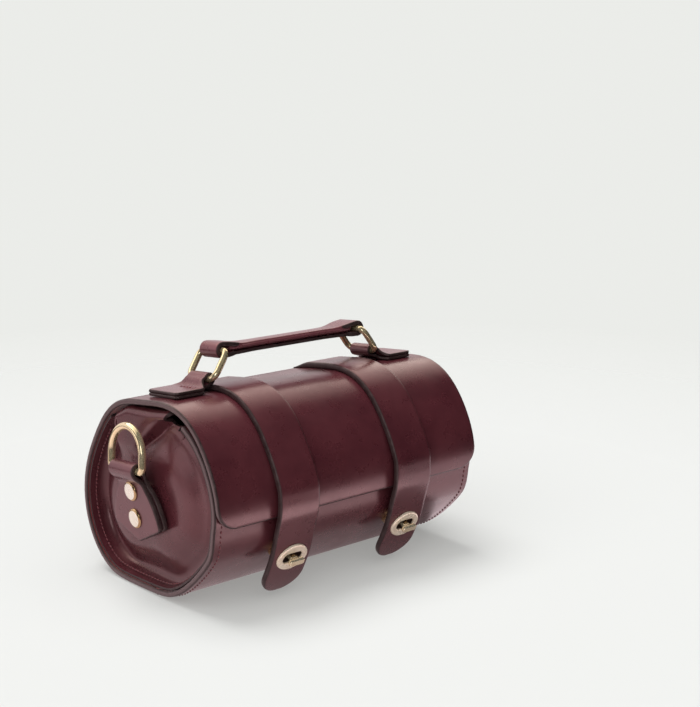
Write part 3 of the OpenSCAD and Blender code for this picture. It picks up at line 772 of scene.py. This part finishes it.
def gusset(side):
    sg = -1 if side == "left" else 1
    ts = np.concatenate([np.arange(0, 44, 2.0), np.arange(44, 70, 0.6), np.arange(70, 106, 1.5), np.arange(106, 130, 0.6), np.arange(130, 360, 2.0)])
    n_out, n_in, n_mid = 20, 38, 6
    q_in = np.linspace(0, 1, n_in + 1) ** 1.15
    verts, kind = [], []
    for t in ts:
        c = oval(t, gus_o(t))
        r = np.linalg.norm(GUS_C - c)
        u = (GUS_C - c) / r
        th = math.degrees(math.atan2(-u[1], -u[0]))
        top = 48.3 < t < 124.9
        if top:
            s_e = r - float(np.interp(th, EAR_A, EAR_R))
            lip = 1.3 + 1.9 * float(ss((th - 54) / 9))
            arc = np.radians(np.linspace(0, 90, 13))
            po = np.concatenate([np.stack([np.full(8, s_e), np.linspace(14, FACE_D + lip, 9)[:8]], -1),
                                 np.stack([s_e + lip * (1 - np.cos(arc)), FACE_D + lip * (1 - np.sin(arc))], -1)])
            s_b = s_e + lip
        else:
            idx = np.linspace(0, 40, n_out + 1)
            po = np.stack([np.interp(idx, range(len(prof)), prof[:, k]) for k in (0, 1)], -1)
            kk = 0.8 + 0.2 * math.cos(math.radians(t + 35))
            po[:, 1] = np.where(idx > 12, po[:, 1] * (1 - (1 - kk) * np.clip((idx - 12) / 14, 0, 1)), po[:, 1])
            s_b = 10.2
        s_in = s_b + (38 - s_b) * q_in
        q = c[None] + s_in[:, None] * u[None]
        e = tongue(q) if 20 < t < 150 else np.zeros(len(q))
        if top:
            e = np.maximum(e, 1 - ss((s_in - s_b) / 2.2))
        d_in = dome_d(s_in, t) * (1 - e) + FACE_D * e
        mid_s = 38 + (r - 38) * np.linspace(0, 1, n_mid + 1)[1:]
        s_all = np.concatenate([po[:-1, 0], s_in, mid_s])
        d_all = np.concatenate([po[:-1, 1], d_in, np.full(n_mid, 1.9)])
        p = c[None] + s_all[:, None] * u[None]
        verts.append(np.stack([sg * (LEN / 2 - d_all), p[:, 0], p[:, 1]], -1))
        kind.append(top)
    m = verts[0].shape[0]
    faces = []
    n = len(ts)
    for i in range(n):
        j = (i + 1) % n
        for k in range(m - 1):
            if k < n_out and kind[i] != kind[j]:
                continue
            faces.append((i * m + k, i * m + k + 1, j * m + k + 1, j * m + k))
    o = new_object("gusset_shell_" + side, np.vstack(verts), faces, [M_GUSSET, M_EDGE], smooth=None)
    # The leather is thinner towards its outer rim.
    full = o.vertex_groups.new(name="full")
    for k in range(m):
        full.add([i * m + k for i in range(n)], float(np.clip((k - 1) / 9, 0, 1)), "REPLACE")
    bm = bmesh.new()
    bm.from_mesh(o.data)
    bmesh.ops.delete(bm, geom=[v for v in bm.verts if not v.link_faces], context="VERTS")
    bmesh.ops.remove_doubles(bm, verts=bm.verts, dist=0.00002)
    # The notch: cut along its outline, then its inside is taken out.
    box = lambda p: -40 < p.y / MM < -12 and 88 < p.z / MM < 106
    for a, b in zip(NOTCH, NOTCH[1:] + NOTCH[:1]):
        near = [f for f in bm.faces if box(f.calc_center_median())]
        geom = near + list({x for f in near for x in f.edges}) + list({x for f in near for x in f.verts})
        no = Vector((0, -(b[1] - a[1]), b[0] - a[0])).normalized()
        bmesh.ops.bisect_plane(bm, geom=geom, dist=0.00001, plane_co=Vector((0, a[0], a[1])) * MM, plane_no=no)
    inside = []
    for f in bm.faces:
        p = f.calc_center_median() / MM
        if all((b[0] - a[0]) * (p.z - a[1]) - (b[1] - a[1]) * (p.y - a[0]) < 0 for a, b in zip(NOTCH, NOTCH[1:] + NOTCH[:1])):
            inside.append(f)
    bmesh.ops.delete(bm, geom=inside, context="FACES")
    # Loose islands that the cut leaves behind the notch go too.
    seen, parts = set(), []
    for f0 in bm.faces:
        if f0 in seen:
            continue
        stack, part = [f0], []
        seen.add(f0)
        while stack:
            f = stack.pop()
            part.append(f)
            for ed in f.edges:
                for g in ed.link_faces:
                    if g not in seen:
                        seen.add(g)
                        stack.append(g)
        parts.append(part)
    parts.sort(key=len)
    for part in parts[:-1]:
        bmesh.ops.delete(bm, geom=part, context="FACES")
    bmesh.ops.recalc_face_normals(bm, faces=bm.faces)
    centre = min(bm.faces, key=lambda f: (f.calc_center_median() - Vector((sg * 0.088, 0.001, 0.050))).length)
    if centre.normal.x * sg < 0:
        bmesh.ops.reverse_faces(bm, faces=bm.faces)
    bm.to_mesh(o.data)
    bm.free()
    sol = o.modifiers.new("thick", "SOLIDIFY")
    sol.thickness = 2.1 * MM
    sol.offset = 0
    sol.use_even_offset = False
    sol.vertex_group = "full"
    sol.thickness_vertex_group = 0.55
    sol.use_rim = True
    sol.material_offset_rim = 1
    bev = o.modifiers.new("soft", "BEVEL")
    bev.width = 0.5 * MM
    bev.segments = 3
    bev.limit_method = "ANGLE"
    bev.angle_limit = math.radians(60)
    apply_all(o)
    shade(o, 45)
    ride(o, "body", "gusset_leather", "gusset_" + side)
    return o


for side in ("left", "right"):
    gusset(side)


# ---- Stitches -----------------------------------------------------------------------
def stitches(name, line, body, pitch=2.7, length=2.0, r=0.36, lean=0.12):
    """line(s) gives (point, direction, outward) at a length s; line.length is the whole."""
    n = int(line.length / pitch)
    verts, faces = [], []
    rings, sides = 7, 8
    for i in range(n):
        s = (i + 0.5) * pitch
        p, d, o = line(s)
        d, o = d / np.linalg.norm(d), o / np.linalg.norm(o)
        w = np.cross(o, d)
        d = d + lean * w
        d /= np.linalg.norm(d)
        w = np.cross(o, d)
        base = len(verts)
        for k in range(rings):
            a = -1 + 2 * k / (rings - 1)
            rr = r * math.sqrt(max(0.02, 1 - abs(a) ** 3.5))
            c = p + d * (a * length / 2) + o * (0.10 * (1 - a * a) - 0.16 * a * a)
            for j in range(sides):
                b = 2 * math.pi * j / sides
                verts.append(c + rr * (math.cos(b) * w + math.sin(b) * o))
        for k in range(rings - 1):
            for j in range(sides):
                j2 = (j + 1) % sides
                faces.append((base + k * sides + j, base + k * sides + j2, base + (k + 1) * sides + j2, base + (k + 1) * sides + j))
        faces.append(tuple(base + j for j in range(sides)))
        faces.append(tuple(base + (rings - 1) * sides + j for j in range(sides)))
    o = new_object(name, np.array(verts), faces, [M_THREAD], smooth=None)
    ride(o, body, "panel_leather")
    return o


class Row:
    def __init__(self, f, length):
        self.f, self.length = f, length

    def __call__(self, s):
        p = self.f(s)
        d = self.f(s + 0.3) - self.f(s - 0.3)
        return p, d, self.o(s)


def panel_row(x, sgn, t0, t1, inner):
    """Stitches along an end of the panel: outside it, or inside on the gusset's flange."""
    t = np.arange(t0, t1 + 0.01, 0.25)
    off = np.where(t < 205, tuck(np.minimum(t, 359)), 0.0)
    outer = Line(oval(t % 360, off), soft=3.0)
    row = Row(None, outer.length)
    depth = -(PANEL_T + 2.92) if inner else 0.06

    def f(s):
        q = outer.at(A([s]), depth)[0]
        return A([x, q[0], q[1]])
    row.f = f

    def o(s):
        v = outer.at(A([s]), 1.0)[0] - outer.at(A([s]), 0.0)[0]
        return A([0, v[0], v[1]]) * (-1 if inner else 1)
    row.o = o
    return row


for side, sg in (("left", -1), ("right", 1)):
    stitches("thread_outside_" + side, panel_row(sg * 85.6, sg, 130, 399, False), "body")
    stitches("thread_inside_" + side, panel_row(sg * 85.6, sg, 130, 399, True), "body")


# ---- Chapes, rivets and D-rings ---------------------------------------------------------
def chape(side):
    """One strip folded round the D-ring's bar; it is skived thinner where it folds."""
    sg = -1 if side == "left" else 1
    th, r = 2.75, D_R + 0.08 + 2.3
    loop = [(D_N - r * math.cos(v), D_UP + r * math.sin(v)) for v in np.radians(np.linspace(-8, 196, 26))]
    back = [(-5.8, -16.6), (-5.8, -8), (-5.8, 1), (-5.8, 9), (-5.2, 13.5), (-4.1, 18.6)]
    fore = [(4.1, 19.4), (2.5, 17.4), (0.8, 15.8), (0.05, 13.9), (0.0, 10), (0.0, 0), (0.0, -8), (0.0, -16.6)]
    line = Line(smooth_line(back + loop + fore, 10), soft=1.2)
    half = A([[-16.6, 0.7], [-8.9, 19.4], [-8.2, 20.3], [-7.2, 20.6], [-3, 20], [3, 18], [9, 15], [13, 12], [15, 11.2], [17, 10.9], [20, 11], [30, 11]])
    e = line.length
    rows = [0, 0.5] + grow_corners(1.2, 7.2, 1.0) + [7.7, 8.4] + grow_corners(9.4, e - 9.4, 1.4) + [e - 8.4, e - 7.7]
    rows += grow_corners(e - 7.2, e - 1.2, 1.0) + [e - 0.5, e]
    hw = np.interp(np.interp(rows, line.s, line.p[:, 1]), half[:, 0], half[:, 1])

    def place(w, s, o):
        top = np.interp(s, line.s, line.p[:, 1])
        k = 1 - (1 - 2.3 / th) * ss((top - 14) / 4)
        q = line.at(s, (th / 2 - o) * k)
        return at_chape(sg, q[:, 0], w, q[:, 1])
    o = slab("chape_strap_" + side, place, rows, -hw, hw, th / 2, 0.9, [M_CHAPE, M_EDGE, M_CHAPE], step=3.0)
    ride(o, "body", "strap_leather", "chape_" + side)


RIVETS = [(-4.2, -10.5), (10.5, -11.9)]


def rivet(side, i):
    """A whole rivet: its cap with a rolled rim, the post and the inner head."""
    sg = -1 if side == "left" else 1
    h, inner = RIVETS[i]
    line = [(0.05, 1.34), (2.0, 1.33), (3.9, 1.29), (4.3, 1.24), (4.5, 1.10), (4.72, 0.98), (5.02, 0.80), (5.24, 0.52), (5.28, 0.26), (5.1, 0.06),
            (1.5, 0.06), (1.5, inner), (3.8, inner), (4.0, inner - 0.2), (4.0, inner - 0.6), (3.8, inner - 0.8), (0.05, inner - 0.8)]
    a = np.linspace(0, 2 * np.pi, 56, endpoint=False)
    rings = [at_chape(sg, np.full(56, n), r * np.cos(a), h + r * np.sin(a)) for r, n in line]
    # The rolled rim takes the darker gold: a painted dark reflection.
    o = loft("rivet_%s_%d" % (side, i + 1), rings, [M_CAP, M_GOLD_PAINTED_SHADE], lambda i, j: 1 if 3 <= i <= 9 else 0, smooth=32)
    if side == "left" and i == 0:
        ride(o, "body", "hardware", "chape_rivets")
    else:
        ride(o, "body", "hardware")


for side in ("left", "right"):
    chape(side)
    rivet(side, 0)
    rivet(side, 1)

# ---- Handle -------------------------------------------------------------------------------
def grip_half(x):
    return 5.5 + (LOOP_W - 11) / 2 * ss((np.abs(x) - 22) / 18)


def grip_top(x):
    return 126.2 + (TOP_Z + 4.4 - 126.2) * ss((np.abs(x) - 30) / 17)


def handle_ring(side):
    sg = -1 if side == "left" else 1
    w, h, cr = RING_W / 2, RING_H, 4.2
    pts = []
    for k in range(13):
        pts.append((-(w - cr) + 2 * (w - cr) * k / 12, 0.0))
    for k in range(1, 10):
        a = math.radians(-90 + 10 * k)
        pts.append((w - cr + cr * math.cos(a), cr + cr * math.sin(a)))
    for k in range(1, 12):
        pts.append((w, cr + (h - 2 * cr) * k / 12))
    for k in range(0, 10):
        a = math.radians(10 * k)
        pts.append((w - cr + cr * math.cos(a), h - cr + cr * math.sin(a)))
    pts += [(-p[0], p[1]) for p in reversed([q for q in pts if q[0] > -(w - cr) and q != pts[0]]) if p[1] > 1e-6]
    line = A(pts)
    for _ in range(3):
        line = 0.5 * line + 0.25 * (np.roll(line, 1, 0) + np.roll(line, -1, 0))
    le = math.radians(RING_LEAN)
    up = A([-sg * math.sin(le), 0, math.cos(le)])
    p3 = A([sg * RING_X, H_Y, RING_Z])[None] + line[:, :1] * A([[0, 1, 0]]) + line[:, 1:] * up[None]
    p3 = rolled(p3)
    o = sweep("handle_link_" + side, p3, RING_R, [M_GOLD], sides=20, flat=np.cross(p3[6] - p3[0], p3[len(p3) // 2] - p3[0]))
    ride(o, "ring_" + side, "hardware", "handle_ring_" + side)


def handle_tab(side):
    """Two layers, stiff and flat, folded round the ring's bar."""
    sg = -1 if side == "left" else 1
    th = 1.7
    z0, z1 = TAB_Z + th / 2 + 0.02, TAB_Z + TAB_T - th / 2
    r = RING_R + 0.08 + th / 2
    loop = [(RING_X - r * math.cos(v), RING_Z - r * math.sin(v)) for v in np.radians(np.linspace(62, -152, 24))]
    low = [(82.0, z0), (74, z0), (67, z0 + 0.02), (63.0, z0 + 0.35), (60.4, z0 + 1.7)]
    up = [(61.2, RING_Z + 0.2), (62.6, RING_Z - 1.9), (64.2, z1 + 0.55), (66.2, z1 + 0.05), (70, z1), (82.0, z1)]
    line = Line(smooth_line(low + loop + up, 10), soft=1.2)
    rows = [0, 0.5] + grow_corners(1.5, line.length - 1.5, 1.0) + [line.length - 0.5, line.length]
    x = np.interp(rows, line.s, line.p[:, 0])
    hw = LOOP_W / 2 + (13.0 - LOOP_W / 2) * ss((x - 61.0) / 4.0) - 1.5 * ss((x - 80.4) / 1.6)

    def place(aa, s, o):
        q = line.at(s, o)
        return rolled(np.stack([sg * q[:, 0], H_Y + aa, q[:, 1]], -1))
    o = slab("handle_chape_" + side, place, rows, -hw, hw, th / 2, 0.62, [M_CHAPE, M_EDGE, M_CHAPE], step=2.2, near=(0.4, 1.0, 1.8))
    ride(o, "flap", "strap_leather", "handle_tab_" + side)
    # One row of stitches across the plate, next to the fold.
    row = Row(None, 12.0)
    row.f = lambda s: rolled(A([sg * 67.6, H_Y - 6.0 + s, TAB_Z + TAB_T + 0.04]))
    row.o = lambda s: rolled(A([0, 0, 1.0])) - rolled(A([0, 0, 0.0]))
    stitches("thread_tab_" + side, row, "flap", pitch=2.6, length=1.9, r=0.33)


for side in ("left", "right"):
    handle_ring(side)
    handle_tab(side)


def handle_strap():
    th = 2.6
    r = RING_R + 0.08 + th / 2
    xs = np.linspace(-43, 43, 45)
    left = [(-TOP_X - r * math.sin(v), TOP_Z - r * math.cos(v)) for v in np.radians(np.linspace(-12, 176, 26))]
    right = [(-p[0], p[1]) for p in reversed(left)]
    top = [(x, float(grip_top(x)) - th / 2 - 0.15) for x in xs]
    start = [(-39.4, TOP_Z - r + 0.75), (-42.4, TOP_Z - r + 0.25)]
    pts = smooth_line(start + left + top + right + [(-p[0], p[1]) for p in reversed(start)], 6)
    line = Line(pts, soft=1.2)
    rows = [0, 0.5] + grow_corners(1.5, line.length - 1.5, 1.25) + [line.length - 0.5, line.length]
    x = np.interp(rows, line.s, line.p[:, 0])
    hw = grip_half(x) - 0.55 * (1 - ss((np.abs(x) - 35) / 6))

    def place(aa, s, o):
        q = line.at(s, -o)
        return rolled(np.stack([q[:, 0], H_Y + aa, q[:, 1]], -1))
    o = slab("handle_band", place, rows, -hw, hw, th / 2, 0.85, [M_GRIP_PAINTED_LIGHT, M_EDGE, M_STRAP], step=2.2, near=(0.4, 1.0, 1.8))
    # Along the grip the band's edge is turned in, so no paint shows there.
    far = max(abs(v.co.x) for v in o.data.vertices)
    for f in o.data.polygons:
        if f.material_index == 1 and abs(f.center.x) < 0.70 * far:
            f.material_index = 0
    ride(o, "handle", "strap_leather", "handle_strap")

    # The rounded grip round the band's middle.
    rings = []
    m = 40
    for x in np.concatenate([[-42.6], np.linspace(-42, 42, 60), [42.6]]):
        hw = float(grip_half(x))
        z1, z0 = float(grip_top(x)), 122.22
        k = float(ss((abs(x) - 33) / 8))
        z1 -= 0.55 * k
        hw -= 0.7 * k
        if abs(x) > 42.3:
            hw -= 0.6
            z1 -= 0.5
            z0 += 0.5
        t = np.linspace(0, 2 * np.pi, m, endpoint=False)
        c, s = np.cos(t), np.sin(t)
        yy = hw * np.sign(c) * np.abs(c) ** (0.82 - 0.16 * k)
        zz = (z1 + z0) / 2 + (z1 - z0) / 2 * np.sign(s) * np.abs(s) ** (0.95 - 0.17 * k)
        rings.append(rolled(np.stack([np.full(m, x), H_Y + yy, zz], -1)))
    # The grip takes the lightened leather: painted light.
    g = loft("handle_grip", rings, [M_GRIP_PAINTED_LIGHT], smooth=50)
    ride(g, "handle", "strap_leather")

    rows = [0, 0.5] + grow_corners(1.5, 81.3, 2.0) + [82.3, 82.8]
    hw = grip_half(A(rows) - 41.4) - 0.15

    def place2(aa, s, o):
        return rolled(np.stack([s - 41.4, H_Y + aa, 121.36 + o], -1))
    o = slab("handle_under_strip", place2, rows, -hw, hw, 0.82, 0.6, [M_STRAP, M_EDGE, M_LINING], step=2.2, near=(0.4, 1.0, 1.8))
    ride(o, "handle", "edge_leather", "handle_liner")


handle_strap()

# ---- Carried-over nodes -----------------------------------------------------------------------
for name in nodes:
    o = nodes[name]
    if o.hide_render:
        continue
    # The lock pieces sit under the eyelet plate and take the darker gold: painted shade.
    mat = M_GOLD_PAINTED_SHADE if name.startswith("lock") else M_GOLD
    for i in range(max(1, len(o.material_slots))):
        if not o.material_slots:
            o.data.materials.append(mat)
        o.material_slots[i].material = mat

# ---- Floor, backdrop and light ------------------------------------------------------------------
def emitter(name, colour, strength):
    m = bpy.data.materials.new(name)
    m.use_nodes = True
    nt = m.node_tree
    nt.nodes.clear()
    out = nt.nodes.new("ShaderNodeOutputMaterial")
    em = nt.nodes.new("ShaderNodeEmission")
    em.inputs[0].default_value = (*colour, 1)
    em.inputs[1].default_value = strength
    nt.links.new(em.outputs[0], out.inputs[0])
    return m, nt, em


def plane(name, centre, ex, ey, mat):
    c, ex, ey = A(centre), A(ex), A(ey)
    o = new_object(name, [(c - ex - ey) / MM, (c + ex - ey) / MM, (c + ex + ey) / MM, (c - ex + ey) / MM], [(0, 1, 2, 3)], [mat], smooth=None)
    return o


BACK = (0.832, 0.842, 0.815)
GLOW = 0.34
world = bpy.data.worlds.new("studio")
scene.world = world
world.use_nodes = True
bg = world.node_tree.nodes["Background"]
bg.inputs[0].default_value = (*BACK, 1)
bg.inputs[1].default_value = 1.0
world.cycles_visibility.glossy = False
world.cycles_visibility.diffuse = False

# The floor is part glow, part matt, so only the bag's own shadow darkens it, and it fades out far from the bag.
fm, nt, fb = nodes_of("floor")
fb.inputs["Base Color"].default_value = (0.405, 0.408, 0.401, 1)
fb.inputs["Roughness"].default_value = 0.9
fb.inputs["Specular IOR Level"].default_value = 0.0
fb.inputs["Emission Color"].default_value = (*BACK, 1)
fb.inputs["Emission Strength"].default_value = GLOW
away = nt.nodes.new("ShaderNodeVectorMath")
away.operation = "LENGTH"
nt.links.new(nt.nodes.new("ShaderNodeTexCoord").outputs["Object"], away.inputs[0])
nt.links.new(span(nt, away.outputs["Value"], 0.32, 0.75, 1.0, 0.0), fb.inputs["Alpha"])
floor = plane("floor", (0, 0, -0.0002), (3, 0, 0), (0, 3, 0), fm)
floor.visible_glossy = False


def lamp(name, way, energy, angle):
    data = bpy.data.lights.new(name, "SUN")
    data.energy = energy
    data.angle = math.radians(angle)
    o = bpy.data.objects.new(name, data)
    scene.collection.objects.link(o)
    o.rotation_euler = Vector(way).to_track_quat("-Z", "Y").to_euler()
    o.visible_glossy = False


lamp("key", (0.06, -0.34, -1.0), 2.4, 36)
lamp("fill", (0.30, 0.26, -1.0), 2.2, 105)
lamp("left", (0.80, 0.45, -0.42), 1.0, 80)


def card(name, centre, ex, ey, strength, colour=(1, 1, 1), falloff=None):
    mat, nt, em = emitter(name, colour, strength)
    if falloff:
        co = nt.nodes.new("ShaderNodeTexCoord").outputs["Object"]
        ln = nt.nodes.new("ShaderNodeVectorMath")
        ln.operation = "LENGTH"
        mp = nt.nodes.new("ShaderNodeMapping")
        mp.inputs["Scale"].default_value = falloff[0]
        mp.inputs["Location"].default_value = falloff[1]
        nt.links.new(co, mp.inputs["Vector"])
        nt.links.new(mp.outputs[0], ln.inputs[0])
        v = span(nt, ln.outputs["Value"], falloff[2], falloff[3], strength, falloff[4])
        nt.links.new(v, em.inputs[1])
    o = plane(name, centre, ex, ey, mat)
    o.visible_camera = o.visible_diffuse = o.visible_shadow = o.visible_transmission = False
    return o


card("floor_mirror", (0, 0, -0.0004), (2.0, 0, 0), (0, 2.0, 0), 1.18, (1, 0.80, 0.82), ((0.9, 1, 1), (0.28, -0.10, 0), 0.05, 0.44, 0.03))
card("floor_right", (0.31, -0.06, -0.0003), (0.215, 0, 0), (0, 0.16, 0), 1.5, (1, 0.84, 0.88))
card("floor_front", (0.07, -0.150, -0.00035), (0.17, 0, 0), (0, 0.042, 0), 2.5, (1, 0.82, 0.84))
card("back_wall", (0.6, 1.5, 0.48), (2.2, 0, 0), (0, 0, 0.48), 0.85, (1, 0.88, 0.90))
card("top_box", (0.9, 0.70, 1.15), (2.1, 0, 0), (0, 0.75, -0.10), 2.5, (1, 0.90, 0.80), ((0, 1, 0), (0, -1.25, 0), 0.25, 1.35, 0.15))
card("side_strip", (-1.1, -0.75, 0.55), (0.10, -0.14, 0), (0, 0, 0.28), 3.0)
card("left_wall", (-1.6, 0.9, 0.30), (0.35, 0.45, 0), (0, 0, 0.45), 1.2, (1, 0.88, 0.90))
card("dim_front", (-0.9, -1.3, 0.9), (1.2, -0.8, 0), (0, 0, 1.0), 0.10, (1, 0.90, 0.86))
